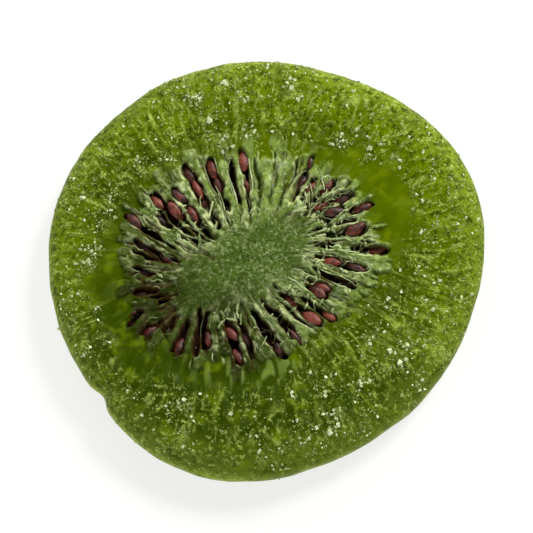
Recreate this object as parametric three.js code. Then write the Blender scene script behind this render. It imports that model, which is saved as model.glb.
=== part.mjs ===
// A dried kiwi slice: one piece of candied, air-dried kiwi fruit, cut straight across the fruit
// and peeled. It lies flat on one cut face.
//
// Units are millimetres, +Z is up, and the origin is on the resting plane under the middle of the
// slice. Directions round the slice are in degrees from +X towards +Y.

import * as THREE from "three";

// ---- Outline -------------------------------------------------------------------------------

const MEAN_RADIUS = 22.7;

// The rim swells and flattens in broad lobes: how many waves go round the slice, how far each
// crest stands out, and the direction of one crest.
const LOBES = [
  { waves: 1, height: 0.54, at: 135 },
  { waves: 2, height: 0.44, at: 33 },
  { waves: 3, height: 0.52, at: 19 },
  { waves: 5, height: 0.18, at: 31 },
];

// One small notch, where the rim was nicked before it dried.
const NOTCH = { at: 217, spread: 7, depth: 0.4 };

// ---- Cut pattern ---------------------------------------------------------------------------

// Ovals on the cut faces: the pale core, and the edge between the seeds and the clear flesh.
const CORE = { x: -2.4, y: 0.3, halfLength: 8.0, halfWidth: 4.4, turned: 27 };
const SEED_RING = { x: -1.2, y: 0.75, halfLength: 14.1, halfWidth: 11.5, turned: 4 };

// Thin walls stand out from the core like spokes, with the seeds in the grooves between them.
const WALLS = 32;
const WALL_HEIGHT = 0.32; // from the bottom of a groove to the top of a wall

// ---- Cross-section -------------------------------------------------------------------------

const CREST_HEIGHT = 5.3; // the plump ring of flesh inside the rim
const RIM_LEVEL = 2.4; // the level at which the rim stands out furthest
const ROUNDING_STARTS = 0.85; // share of the way out where the faces turn over into the rim
const ROUNDING_POWER = 2.3; // 2 is an ellipse, and more is squarer

const TOP_DIP = 1.15; // how far the seed ring sinks below the crest
const TOP_CORE_RISE = 0.5; // how far the core stands up again
const UNDER_HOLLOW = 0.75; // the underside arches off the table in the middle
const UNDER_CORE_RISE = 0.3; // and its core comes back down

const SADDLE = { height: 0.22, at: 60 }; // the top dries into a slight saddle
const CURL = { height: 0.35, from: 0.74, at: 160 }; // the edge curls up off the table

// ---- Faceting ------------------------------------------------------------------------------

const SEGMENTS = WALLS * 4; // a crest, a groove and two flanks for each wall
const CORE_RINGS = 3;
const SEED_RINGS = 5;
const FLESH_RINGS = 5;
const ROUNDING_RINGS = 9; // over the whole rim

// Shares of the way out from the core's middle (0) to the rim (1)
const CORE_EDGE = 0.28;
const SEED_EDGE = 0.56;

// ---- Helpers -------------------------------------------------------------------------------

const { degToRad, lerp, smoothstep } = THREE.MathUtils;

/** A wave round the slice that is 1 in the direction `at`. */
function waveRound(angle, waves, at) {
  return Math.cos(waves * (angle - degToRad(at)));
}

/** The point of the rim in one direction. */
function rimPoint(angle) {
  const lobes = LOBES.reduce((sum, lobe) => sum + lobe.height * waveRound(angle, lobe.waves, lobe.at), 0);
  const offNotch = Math.acos(waveRound(angle, 1, NOTCH.at)) / degToRad(NOTCH.spread);
  const radius = MEAN_RADIUS + lobes - NOTCH.depth * Math.exp(-(offNotch ** 2));
  return new THREE.Vector2(radius, 0).rotateAround(new THREE.Vector2(), angle);
}

/** The point of an oval that the spoke in one direction crosses. */
function ovalPoint(oval, angle) {
  const turn = degToRad(oval.turned);
  const along = oval.halfLength * Math.cos(angle - turn);
  const across = oval.halfWidth * Math.sin(angle - turn);
  const point = new THREE.Vector2(along, across).rotateAround(new THREE.Vector2(), turn);
  return point.add(new THREE.Vector2(oval.x, oval.y));
}

/** The point on a spoke at a share of the way out from the core's middle to the rim. */
function spokePoint(share, angle) {
  const middle = new THREE.Vector2(CORE.x, CORE.y);
  const core = ovalPoint(CORE, angle);
  const seeds = ovalPoint(SEED_RING, angle);
  if (share < CORE_EDGE) return middle.lerp(core, share / CORE_EDGE);
  if (share < SEED_EDGE) return core.lerp(seeds, (share - CORE_EDGE) / (SEED_EDGE - CORE_EDGE));
  return seeds.lerp(rimPoint(angle), (share - SEED_EDGE) / (1 - SEED_EDGE));
}

/** How far out a point is in an oval: 0 at its middle and 1 on its edge. */
function shareOfOval(oval, { x, y }) {
  const offset = new THREE.Vector2(x - oval.x, y - oval.y);
  offset.rotateAround(new THREE.Vector2(), -degToRad(oval.turned));
  return Math.hypot(offset.x / oval.halfLength, offset.y / oval.halfWidth);
}

/** The walls' relief, from -0.5 in a groove to 0.5 on a wall, and 0 away from the seed ring. */
function wallRelief(point, angle) {
  const outOfCore = smoothstep(shareOfOval(CORE, point), 0.85, 1.25);
  const insideRing = 1 - smoothstep(shareOfOval(SEED_RING, point), 0.8, 1.1);
  return 0.5 * outOfCore * insideRing * Math.cos(WALLS * angle);
}

/** How far the edge has curled up: 0 where the slice rests and at most CURL.height at the rim. */
function curl(share, angle) {
  const lift = 0.5 + 0.35 * waveRound(angle, 2, CURL.at) + 0.15 * waveRound(angle, 3, CURL.at);
  return CURL.height * lift * smoothstep(share, CURL.from, 1);
}

/** The top face's height, apart from its rounding at the rim. */
function topHeight(point, share, angle) {
  const dip = TOP_DIP * (1 - smoothstep(shareOfOval(SEED_RING, point), 0.8, 1.5));
  const core = TOP_CORE_RISE * (1 - smoothstep(shareOfOval(CORE, point), 0.5, 1.3));
  const saddle = SADDLE.height * waveRound(angle, 2, SADDLE.at) * share ** 2;
  return CREST_HEIGHT - dip + core + saddle + WALL_HEIGHT * wallRelief(point, angle);
}

/** The underside's height, which is 0 on the flat ring that the slice rests on. */
function undersideHeight(point, angle) {
  const hollow = UNDER_HOLLOW * (1 - smoothstep(shareOfOval(SEED_RING, point), 0.7, 1.1));
  const core = UNDER_CORE_RISE * (1 - smoothstep(shareOfOval(CORE, point), 0.5, 1.3));
  return Math.max(0, hollow - core - WALL_HEIGHT * wallRelief(point, angle));
}

// ---- The slice -----------------------------------------------------------------------------

/** The mesh's rings on a flat face, as shares of the way out. */
function faceShares() {
  const shares = [0];
  const addRings = (from, to, count) => {
    for (let i = 1; i <= count; i++) shares.push(lerp(from, to, i / count));
  };
  addRings(0, CORE_EDGE, CORE_RINGS);
  addRings(CORE_EDGE, SEED_EDGE, SEED_RINGS);
  addRings(SEED_EDGE, ROUNDING_STARTS, FLESH_RINGS);
  return shares;
}

/**
 * The half section as a unit profile, from the middle of the underside round the rim to the
 * middle of the top. X is the share of the way out. Y is -1 on the underside and 1 on the top,
 * and passes through 0 at the rim.
 */
function unitSection() {
  const underside = faceShares().map((share) => new THREE.Vector2(share, -1));
  const top = faceShares().map((share) => new THREE.Vector2(share, 1));
  const rim = [];
  for (let i = 1; i < ROUNDING_RINGS; i++) {
    const turn = Math.PI * (i / ROUNDING_RINGS - 0.5);
    const out = Math.cos(turn) ** (2 / ROUNDING_POWER);
    const up = Math.sign(turn) * Math.abs(Math.sin(turn)) ** (2 / ROUNDING_POWER);
    rim.push(new THREE.Vector2(lerp(ROUNDING_STARTS, 1, out), up));
  }
  return [...underside, ...rim, ...top.reverse()];
}

/** Where a point of the turned unit section lies on the slice. */
function placeOnSlice(unit) {
  const angle = Math.atan2(unit.y, unit.x);
  const share = Math.hypot(unit.x, unit.y);
  const point = spokePoint(share, angle);
  const face = unit.z > 0 ? topHeight(point, share, angle) : undersideHeight(point, angle);
  const height = lerp(RIM_LEVEL, face, Math.abs(unit.z)) + curl(share, angle);
  return new THREE.Vector3(point.x, point.y, height);
}

function sliceGeometry() {
  const geometry = new THREE.LatheGeometry(unitSection(), SEGMENTS);
  geometry.rotateX(Math.PI / 2);
  const positions = geometry.getAttribute("position");
  const unit = new THREE.Vector3();
  for (let i = 0; i < positions.count; i++) {
    const place = placeOnSlice(unit.fromBufferAttribute(positions, i));
    positions.setXYZ(i, place.x, place.y, place.z);
  }
  geometry.computeBoundingBox();
  const middle = geometry.boundingBox.getCenter(new THREE.Vector3());
  geometry.translate(-middle.x, -middle.y, 0);
  geometry.computeVertexNormals();
  return geometry;
}

function fleshMaterial() {
  return new THREE.MeshStandardMaterial({ color: 0x5f7020, roughness: 0.5, metalness: 0 });
}

const slice = new THREE.Mesh(sliceGeometry(), fleshMaterial());
slice.name = "kiwi_slice";

const driedKiwiSlice = new THREE.Group();
driedKiwiSlice.add(slice);

export default driedKiwiSlice;
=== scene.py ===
# The looks of a dried kiwi slice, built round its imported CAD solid.
#
# The flesh is one closed mesh with the solid's own form, which is worked out here again in
# millimetres and then fitted to the solid's box. On both cut faces it gets the fruit's pattern:
# walls that stand out from the core like spokes, gaps between them, and pockets for the seeds.
# Seeds, loose fibres, frosted wisps and sugar crystals are laid on it, one mesh for each kind.
#
# Directions round the slice are angles from +X towards +Y. A spoke runs from the core's middle
# through the core's edge and the seed ring's edge to the rim. A point's share is how far out it
# is on its spoke, from 0 to 1. Up is -1 on the underside, 0 at the rim and 1 on the top.

import functools
import itertools
import math
from collections import namedtuple

import bpy
import numpy as np
from mathutils import Euler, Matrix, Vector
from mathutils.bvhtree import BVHTree
from mathutils.kdtree import KDTree


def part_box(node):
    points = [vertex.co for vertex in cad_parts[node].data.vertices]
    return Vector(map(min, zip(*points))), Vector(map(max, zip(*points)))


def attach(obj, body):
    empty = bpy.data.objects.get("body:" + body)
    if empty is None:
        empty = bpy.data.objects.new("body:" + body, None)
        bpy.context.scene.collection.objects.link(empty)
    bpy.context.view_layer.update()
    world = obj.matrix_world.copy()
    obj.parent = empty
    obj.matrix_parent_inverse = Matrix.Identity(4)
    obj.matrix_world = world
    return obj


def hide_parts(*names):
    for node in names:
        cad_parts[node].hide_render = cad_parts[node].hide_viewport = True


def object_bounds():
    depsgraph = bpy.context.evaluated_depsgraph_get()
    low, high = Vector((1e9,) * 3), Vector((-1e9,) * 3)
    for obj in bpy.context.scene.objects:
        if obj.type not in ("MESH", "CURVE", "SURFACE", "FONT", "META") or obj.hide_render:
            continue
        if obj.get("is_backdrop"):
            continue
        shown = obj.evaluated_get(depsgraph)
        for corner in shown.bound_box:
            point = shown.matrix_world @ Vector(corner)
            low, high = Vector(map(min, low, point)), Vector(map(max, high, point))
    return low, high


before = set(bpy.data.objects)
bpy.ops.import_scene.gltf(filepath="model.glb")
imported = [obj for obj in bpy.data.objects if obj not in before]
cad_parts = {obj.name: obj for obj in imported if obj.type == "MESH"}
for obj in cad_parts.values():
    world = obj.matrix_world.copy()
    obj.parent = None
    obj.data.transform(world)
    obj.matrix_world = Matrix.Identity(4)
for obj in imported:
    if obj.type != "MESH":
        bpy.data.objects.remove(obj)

CAD_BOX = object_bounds()

# ---- Form, the same as the CAD solid's, in millimetres and degrees ----

Oval = namedtuple("Oval", "x y half_length half_width turned")

# The radius and the lobes are a scratch script's least-squares fit to 37 outline points that
# were read off the photo by eye.
MEAN_RADIUS = 22.7
LOBES = [(1, 0.54, 135), (2, 0.44, 33), (3, 0.52, 19), (5, 0.18, 31)]  # waves, height, crest at
NOTCH_AT = 217
NOTCH_SPREAD = 7
NOTCH_DEPTH = 0.4

CORE = Oval(-2.4, 0.3, 8.0, 4.4, 27)
SEED_RING = Oval(-1.2, 0.75, 14.1, 11.5, 4)
CORE_EDGE = 0.28  # the share at which each spoke crosses the core's edge
SEED_EDGE = 0.56

CREST_HEIGHT = 5.3
RIM_LEVEL = 2.4
ROUNDING_STARTS = 0.85
ROUNDING_POWER = 2.3
TOP_DIP = 1.15
TOP_CORE_RISE = 0.5
UNDER_HOLLOW = 0.75
UNDER_CORE_RISE = 0.3
SADDLE_HEIGHT = 0.22
SADDLE_AT = 60
CURL_HEIGHT = 0.35
CURL_FROM = 0.74
CURL_AT = 160

# ---- Fruit pattern, in millimetres and degrees ----

# The leading gaps on the top face: the direction of each, and how far past the core's edge its
# seeds lie. Most are places of seeds that were read off the photo by eye, in millimetres, and
# that a scratch script took to these measures. The rest were moved or added by hand.
LEADING_GAPS = {
    2: [6.5], 15: [4.1], 29: [5.5], 34: [2.8], 40: [4.4], 45: [2.4], 51: [4.1], 66: [5.9, 3.6],
    97: [6.0, 3.2], 112: [6.2, 4.3], 123: [6.6, 4.8, 3.0], 133: [5.2, 2.8], 144: [6.2],
    159: [6.6], 169: [4.1, 1.4],
    185: [3.4], 200: [3.2], 210: [5.1], 221: [4.7], 236: [4.4], 250: [3.2], 264: [5.2, 2.5],
    283: [6.0], 294: [5.5], 308: [4.7, 1.8], 315: [5.6], 324: [2.9], 338: [4.8], 349: [4.8, 2.0],
}
# The numbers that start the random layout of each face. A scratch script tried 2999 of them for
# the top one, and this one gave the leading seeds sizes and tones most like the photo's.
TOP_LAYOUT = 752
UNDER_LAYOUT = 4
UNDER_LEADING_GAPS = 27
OTHER_GAPS = 44  # places for the narrower gaps round a face
KEPT_CLEAR = 4.2  # degrees on each side of a leading gap
SLITS = 64
GAP_DEPTH = 1.15
POCKET_DEPTH = 0.7
SLIT_DEPTH = 0.5

# Shallow bare furrows between the broad walls on the far side: the direction of each, and the
# share of the walls' length that it runs.
FURROWS = {74: 0.95, 82: 1.0, 90: 0.9, 104: 0.85}
FURROW_DEPTH = 0.6
FURROW_HALF_WIDTH = 0.34

WALL_CREST = 0.4  # how far a wall's middle stands above its edges
FOLD_START = (-8.8, 2.8)  # a thin fold across the core's left end
FOLD_END = (-4.9, -0.4)
SEED_SIZE = np.array([2.4, 1.3, 0.85])

# Values that change round the slice: a base value, and bell curves on it, each with its height,
# its direction and its spread.
OPENNESS = (1, (-0.7, 80, 11), (0.45, 262, 30), (0.35, 122, 20), (0.2, 30, 25), (-0.4, 185, 22),
            (-0.25, 335, 25))  # how wide the gaps are
MISSING_GAPS = (0, (0.8, 88, 16))  # share of the gaps left out, where the walls are broad
MATTED = (0, (2.3, 208, 38), (0.8, 75, 12))  # length over which the walls have dried together
# How far the walls are darkened: at the lower left and the bottom partly painted shade, away from the
# key light, and partly their own darker dried mass; also in the tangle at the upper right
WALL_DARKENING = (0, (1, 205, 45), (0.8, 268, 25), (0.5, 44, 14))
STREAKED = (0.1, (0.9, 88, 25), (0.6, 315, 30), (0.4, 268, 22))
CLEAR_WIDTH = (1.2, (2.8, 28, 32), (1.8, 198, 30), (0.9, 250, 30), (-1.2, 125, 35), (-1.2, 315, 28))
FROSTED = (1, (-0.45, 285, 50), (-0.15, 200, 30))
COMBED = (0.2, (0.8, 322, 38), (0.5, 120, 40))
WISPY = (0.2, (0.8, 120, 55), (0.8, 350, 45))
# How pale the walls' edges and knobs are: dimmed by painted shade at the lower left, away from the key
# light, and paler at the upper left
EDGE_LIGHT = (1, (-0.8, 215, 38), (0.4, 108, 35))
FIBRE_LIGHT = (1, (-0.8, 215, 45))
# How strong the painted shade at the walls' feet is round the slice
CREASE_SHADE = (1, (-0.7, 84, 14))
NICK = (0, (0.15, 213.5, 3), (-0.4, 219.5, 2.6))  # its lip and its hollow
# Painted light and painted shade: where the walls and the clear flesh are painted lighter, and where
# the rim's lower part is painted in shade.
LIT_WALLS = (0, (0.8, 84, 18))
LIT_FLESH = (0, (0.6, 178, 20), (0.12, 0, 30))
SHADY_RIM = (0, (0.6, 293, 38))
# Painted light: the flesh is painted lighter towards this direction, from which the key light falls,
# and in painted shade on the far side.
SUN_AT = 55  # the direction of the slice's bright side

PATTERN_RADIUS = 15  # where drawn-out noise has its own width across the spokes
FACE_NOISE = 50  # the number that starts a face's noise, one more on the top and one less below

# ---- Sizes and numbers of the parts, in millimetres ----

# (from, to, spacing) of the flesh's rings, as shares of the way out
TOP_ZONES = [(0.0, 0.24, 0.17), (0.24, 0.64, 0.125), (0.64, ROUNDING_STARTS, 0.18)]
UNDER_ZONES = [(0.0, 0.24, 0.3), (0.24, 0.64, 0.22), (0.64, ROUNDING_STARTS, 0.27)]
RIM_SPACING = 0.25

SEED_SIDES = 16
SEED_RINGS = 11
FIBRE_SIDES = 5
FIBRE_STEPS = 9
LOOSE_FIBRES = 60
TANGLE_FIBRES = 60
CORE_FIBRES = 260
FINGERS = 50
FINGER_PLACES = (268, 268, 305, 42, 42, 118, 150)  # directions that most of them lie in
FRILLS = 240
FRILL_PLACES = (45, 45, 20, 0, 345, 345, 310, 290, 120, 150)
WISP_STEPS = 7
TOP_WISPS = 900
OTHER_WISPS = 150
WISP_FLATNESS = 0.5  # a wisp's height over its width
STREAKS = 200
STREAK_PLACES = (82, 82, 318, 318, 140)
TOP_CRYSTALS = 9500
OTHER_CRYSTALS = 5000
SMALLEST_CRYSTAL = 0.05
LARGEST_CRYSTAL = 0.16  # apart from the few palest, which are up to three times as large

# Where each half of the flesh lies on its texture map
Disc = namedtuple("Disc", "middle radius")
TOP_DISC = Disc(0.335, 0.32)
UNDER_DISC = Disc(0.765, 0.225)

FAR = 99.0  # further than anything on the slice

# ---- Colours, as sRGB values ----

CORE_MIDDLE = (77, 103, 31)
CORE_OUTER = (82, 107, 34)
DEEP_CORE = (56, 80, 14)
WALL_OUTER = (104, 124, 42)
# The walls' darker tone on some walls and in fine grains, also used for their painted shade
DARK_WALL_AND_SHADE = (37, 40, 8)
# The walls' paler tone on some walls, also used for their painted light
PALE_WALL_AND_SUNLIGHT = (142, 168, 76)
STREAK = (136, 158, 76)
CLEAR_FLESH = (70, 87, 0)
RING_FLESH = (91, 113, 0)
# Painted light: the rim's paler colour, as light bounced up from the floor would make it
RIM_BOUNCE_LIGHT = (158, 179, 60)
# Painted light: the clear flesh's colour on the side the key light comes from
FLESH_IN_LIGHT = (122, 147, 0)
# The flesh's darker tone in random patches, also used for painted shade: on the side away from the key
# light and in small pits
DARK_FLESH_AND_SHADE = (45, 62, 0)
RING_LIGHT = (128, 150, 10)
FLOWING_FLESH = (158, 182, 56)
PALE_FIBRE = (222, 235, 172)
FROST = (198, 220, 108)
# Painted shade: the dark colours deep in the gaps and in the creases
GAP_SHADE_BLACK = (26, 13, 6)
GAP_SHADE_BROWN = (62, 35, 19)
SEED_BLACK = (42, 17, 10)
SEED_MAROON = (88, 38, 26)
SEED_RED = (132, 60, 42)
SUGAR_GREEN = (134, 156, 62)
SUGAR_PALE = (178, 194, 128)
# The palest crystals' near-white colour: partly the sugar's own paleness, partly a painted glint
SUGAR_WHITE_AND_GLINT = (238, 244, 196)
FLOOR_GREY = (150, 150, 148)
FLOOR_GLOW = (240, 240, 238)

GLOW = (1.0, 1.2, 0.1)  # how far light of each colour spreads in the flesh


# ---- Numbers ----


def lerp(start, end, share):
    return start + (end - start) * share


def smoothstep(x, low, high):
    share = np.clip((x - low) / (high - low), 0, 1)
    return share * share * (3 - 2 * share)


def wrapped(angle):
    """An angle brought between half a turn back and half a turn forward."""
    return (angle + math.pi) % (2 * math.pi) - math.pi


def bump(x, middle, spread):
    """A bell curve, 1 at the middle."""
    return np.exp(-(((x - middle) / spread) ** 2))


def near(angle, middle, spread):
    """A bell curve round the slice, 1 in the middle direction. Both numbers are degrees."""
    return bump(np.degrees(wrapped(angle - math.radians(middle))), 0, spread)


def profile(curve, angle):
    """The value in a direction of something that changes round the slice."""
    base, *bells = curve
    return sum((height * near(angle, middle, spread) for height, middle, spread in bells), base)


def cell_values(cells, seed):
    """A repeatable random number from -1 to 1 for each lattice cell."""
    whole = cells.astype(np.int64).astype(np.uint64)
    mixed = whole @ np.array([73856093, 19349663, 83492791], np.uint64) + np.uint64(seed * 7919)
    for shift, factor in ((15, 2246822519), (13, 3266489917)):
        mixed = ((mixed ^ (mixed >> np.uint64(shift))) * np.uint64(factor)) & np.uint64(0xFFFFFFFF)
    return (mixed ^ (mixed >> np.uint64(16))) / 0x7FFFFFFF - 1


def noise(points, wavelength, seed):
    """Smooth noise from -1 to 1 at points in millimetres."""
    scaled = np.asarray(points, float) / wavelength
    cell = np.floor(scaled)
    share = smoothstep(scaled - cell, 0, 1)
    total = np.zeros(len(scaled))
    for corner in itertools.product((0, 1), repeat=3):
        weight = np.where(corner, share, 1 - share).prod(axis=1)
        total += weight * cell_values(cell + corner, seed)
    return total


def ridges(points, wavelength, seed):
    """Noise with sharp crests, from 0 to 1."""
    return (1 - np.abs(noise(points, wavelength, seed))) ** 2


def wander(points, distance, wavelength, seed):
    """Points moved about, so that the pattern drawn on them curls."""
    moves = [noise(points, wavelength, seed + axis) for axis in range(3)]
    return points + distance * np.stack(moves, axis=-1)


def turned(x, y, turn, start=(0, 0)):
    """A flat vector from a start, turned from +X towards +Y by an angle."""
    cos, sin = math.cos(turn), math.sin(turn)
    return start[0] + x * cos - y * sin, start[1] + x * sin + y * cos


def unit(vectors):
    """Vectors brought to a length of 1."""
    return vectors / np.linalg.norm(vectors, axis=-1, keepdims=True)


def linear(colour):
    """A colour's sRGB values as linear light, with full alpha."""
    shares = np.array(colour) / 255
    light = np.where(shares <= 0.04045, shares / 12.92, ((shares + 0.055) / 1.055) ** 2.4)
    return (*light.tolist(), 1.0)


# ---- The slice's form ----


def wave_round(angle, waves, at):
    return np.cos(waves * (angle - math.radians(at)))


def rim_point(angle):
    lobes = sum(height * wave_round(angle, waves, at) for waves, height, at in LOBES)
    off_notch = np.arccos(np.clip(wave_round(angle, 1, NOTCH_AT), -1, 1)) / math.radians(NOTCH_SPREAD)
    radius = MEAN_RADIUS + lobes - NOTCH_DEPTH * np.exp(-(off_notch**2))
    return np.stack([radius * np.cos(angle), radius * np.sin(angle)], axis=-1)


def oval_point(oval, angle):
    """The point of an oval that the spoke in one direction crosses."""
    turn = math.radians(oval.turned)
    along = oval.half_length * np.cos(angle - turn)
    across = oval.half_width * np.sin(angle - turn)
    return np.stack(turned(along, across, turn, start=(oval.x, oval.y)), axis=-1)


def share_of_oval(oval, flat):
    """How far out a point is in an oval: 0 at its middle and 1 on its edge."""
    back = -math.radians(oval.turned)
    along, across = turned(flat[..., 0] - oval.x, flat[..., 1] - oval.y, back)
    return np.hypot(along / oval.half_length, across / oval.half_width)


def spoke_point(share, angle):
    """The point on a spoke at a share of the way out."""
    share = np.asarray(share)[..., None]
    middle = np.array([CORE.x, CORE.y])
    core = oval_point(CORE, angle)
    seeds = oval_point(SEED_RING, angle)
    in_core = lerp(middle, core, share / CORE_EDGE)
    in_seeds = lerp(core, seeds, (share - CORE_EDGE) / (SEED_EDGE - CORE_EDGE))
    in_flesh = lerp(seeds, rim_point(angle), (share - SEED_EDGE) / (1 - SEED_EDGE))
    return np.where(share < CORE_EDGE, in_core, np.where(share < SEED_EDGE, in_seeds, in_flesh))


def top_height(flat, share, angle):
    dip = TOP_DIP * (1 - smoothstep(share_of_oval(SEED_RING, flat), 0.8, 1.5))
    core = TOP_CORE_RISE * (1 - smoothstep(share_of_oval(CORE, flat), 0.5, 1.3))
    return CREST_HEIGHT - dip + core + SADDLE_HEIGHT * wave_round(angle, 2, SADDLE_AT) * share**2


def underside_height(flat):
    hollow = UNDER_HOLLOW * (1 - smoothstep(share_of_oval(SEED_RING, flat), 0.7, 1.1))
    return hollow - UNDER_CORE_RISE * (1 - smoothstep(share_of_oval(CORE, flat), 0.5, 1.3))


def curl(share, angle):
    lift = 0.5 + 0.35 * wave_round(angle, 2, CURL_AT) + 0.15 * wave_round(angle, 3, CURL_AT)
    return CURL_HEIGHT * lift * smoothstep(share, CURL_FROM, 1)


def form_point(share, up, angle):
    """A point of the bare form."""
    flat = spoke_point(share, angle)
    face = np.where(up > 0, top_height(flat, share, angle), underside_height(flat))
    height = lerp(RIM_LEVEL, face, np.abs(up)) + curl(share, angle)
    return np.concatenate([flat, height[..., None]], axis=-1)


class Fit:
    """Takes points of the form, in millimetres, to the frame, in metres."""

    def __init__(self):
        low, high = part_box("kiwi_slice")
        outline = rim_point(np.linspace(0, 2 * math.pi, 3600))
        least = outline.min(axis=0)
        most = outline.max(axis=0)
        self.scale = (high.x - low.x) / (most[0] - least[0])
        self.middle = np.array([*(least + most) / 2, 0])
        self.place = np.array([(low.x + high.x) / 2, (low.y + high.y) / 2, low.z])

    def __call__(self, points):
        return (np.asarray(points) - self.middle) * self.scale + self.place


# ---- Rings of the flesh's mesh ----


def ring_count(share, spacing):
    return max(6, round(2 * math.pi * MEAN_RADIUS * share / spacing))


def face_rings(zones, up):
    """(share, up, vertex count) of a cut face's rings, from its middle outwards."""
    rings = [(0.0, up, 1)]
    for start, end, spacing in zones:
        steps = round((end - start) * MEAN_RADIUS / spacing)
        for step in range(1, steps + 1):
            share = lerp(start, end, step / steps)
            rings.append((share, up, ring_count(share, spacing)))
    return rings


def rim_rings():
    """(share, up, vertex count) of the rings round the rim, evenly spaced from below to above."""
    turn = np.linspace(-math.pi / 2, math.pi / 2, 801)
    share = lerp(ROUNDING_STARTS, 1, np.abs(np.cos(turn)) ** (2 / ROUNDING_POWER))
    up = np.sign(turn) * np.abs(np.sin(turn)) ** (2 / ROUNDING_POWER)
    steps = np.hypot(np.diff(share) * MEAN_RADIUS, np.diff(up) * CREST_HEIGHT / 2)
    length = np.concatenate([[0], np.cumsum(steps)])
    at = np.linspace(0, length[-1], round(length[-1] / RIM_SPACING) + 1)[1:-1]
    rings = zip(np.interp(at, length, share), np.interp(at, length, up))
    return [(share, up, ring_count(share, RIM_SPACING)) for share, up in rings]


def stitch(first, count, next_first, next_count):
    """The triangles between two rings that both start at angle 0, as vertex numbers."""
    triangles = []
    if count > 1:
        i = np.arange(count)
        facing = -((count - (2 * i + 1) * next_count) // (2 * count)) % next_count
        triangles.append(np.stack([first + i, first + (i + 1) % count, next_first + facing], axis=1))
    if next_count > 1:
        j = np.arange(next_count)
        facing = ((2 * j + 1) * count + next_count) // (2 * next_count) % count
        after = next_first + (j + 1) % next_count
        triangles.append(np.stack([after, next_first + j, first + facing], axis=1))
    return np.concatenate(triangles)


class Grid:
    """The vertices of the flesh's mesh in spoke coordinates, and its triangles."""

    def __init__(self):
        rings = face_rings(UNDER_ZONES, -1.0) + rim_rings() + face_rings(TOP_ZONES, 1.0)[::-1]
        shares, ups, counts = zip(*rings)
        firsts = np.concatenate([[0], np.cumsum(counts)])
        self.share = np.repeat(shares, counts)
        self.up = np.repeat(ups, counts)
        self.angle = np.concatenate([np.arange(count) * 2 * math.pi / count for count in counts])
        self.triangles = np.concatenate(
            [stitch(firsts[k], counts[k], firsts[k + 1], counts[k + 1]) for k in range(len(rings) - 1)]
        )
        self.form = form_point(self.share, self.up, self.angle)
        section = form_point(np.array(shares), np.array(ups), np.zeros(len(rings)))
        steps = np.linalg.norm(np.diff(section, axis=0), axis=1)
        self.travel = np.repeat(np.concatenate([[0], np.cumsum(steps)]), counts)


# ---- Gaps between the walls ----

# A gap runs along a spoke from start to end, which are distances past the core's edge. Flesh
# may cross the bridged ones.
Gap = namedtuple("Gap", "angle start end half_width depth bend phase bridged")
Seed = namedtuple("Seed", "angle out size turn tilt lift tone")


def reach(angle):
    """How far past the core's edge the gaps reach along a spoke, about to the ring's edge."""
    ring = np.linalg.norm(oval_point(SEED_RING, angle) - oval_point(CORE, angle), axis=-1)
    # The three waves are rounded from a scratch script's fit to points read off the photo.
    lobes = 1.0 * wave_round(angle, 1, 173) + 0.6 * wave_round(angle, 2, 53)
    return ring + lobes + 0.6 * wave_round(angle, 3, 12) - 0.9 * near(angle, 24, 17)


def gap_outline(gap, along):
    """A gap's half width at a share of its length, 0 at both ends and rounder at the outer one."""
    inside = np.clip(along, 0, 1)
    return gap.half_width * 1.82 * inside**0.55 * (1 - inside) ** 0.35


def gap_line(gap, along):
    """How far a gap's middle line lies to the side of its spoke."""
    return gap.bend * along**2 + 0.1 * np.sin(7 * along + gap.phase)


def make_gap(rng, angle, end, half_width, depth, earliest=-1.4):
    start = min(profile(MATTED, angle) + rng.uniform(earliest, 1.4), end - 1.2)
    return Gap(angle, start, end, half_width, depth, rng.normal(0, 0.35), rng.uniform(0, 6), True)


def make_seed(rng, angle, out, lift):
    """A seed along its spoke, deeper where the walls have dried together and painted darker there
    as painted shade in its deeper pocket, and smaller at the lower left. Some stand on edge and
    look slim."""
    matted_and_shade = profile(MATTED, angle)
    size = rng.uniform(0.74, 1.12) * (1 - 0.13 * near(angle, 222, 38))
    slim = rng.uniform(0.6, 0.8) if rng.random() < 0.25 else rng.uniform(0.9, 1.05)
    tone = rng.uniform(0, 1) / (1 + 0.6 * matted_and_shade)
    turn = rng.normal(0, 0.2)
    tilt = rng.normal(0.12, 0.16)
    sunk = 0.28 * matted_and_shade + 0.18 * near(angle, 10, 40)
    return Seed(angle, out, SEED_SIZE * size * (1, slim, 1), turn, tilt, lift - sunk, tone)


def pocket(seed, rng):
    """The short gap that a seed lies in."""
    length, width, _ = seed.size
    start = seed.out - length / 2 - 0.35
    end = seed.out + length / 2 + 0.12
    return Gap(seed.angle, start, end, width / 2 - 0.1, POCKET_DEPTH, 0, rng.uniform(0, 6), False)


def strewn_gaps(rng, count):
    """Leading gaps spread round a cut face, with one or two seeds in each."""
    leading = {}
    for step in range(count):
        degrees = (step + rng.uniform(-0.3, 0.3)) * 360 / count
        out = reach(math.radians(degrees)) * rng.uniform(0.65, 0.88)
        leading[degrees] = [out, 0.5 * out] if rng.random() < 0.35 else [out]
    return leading


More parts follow.
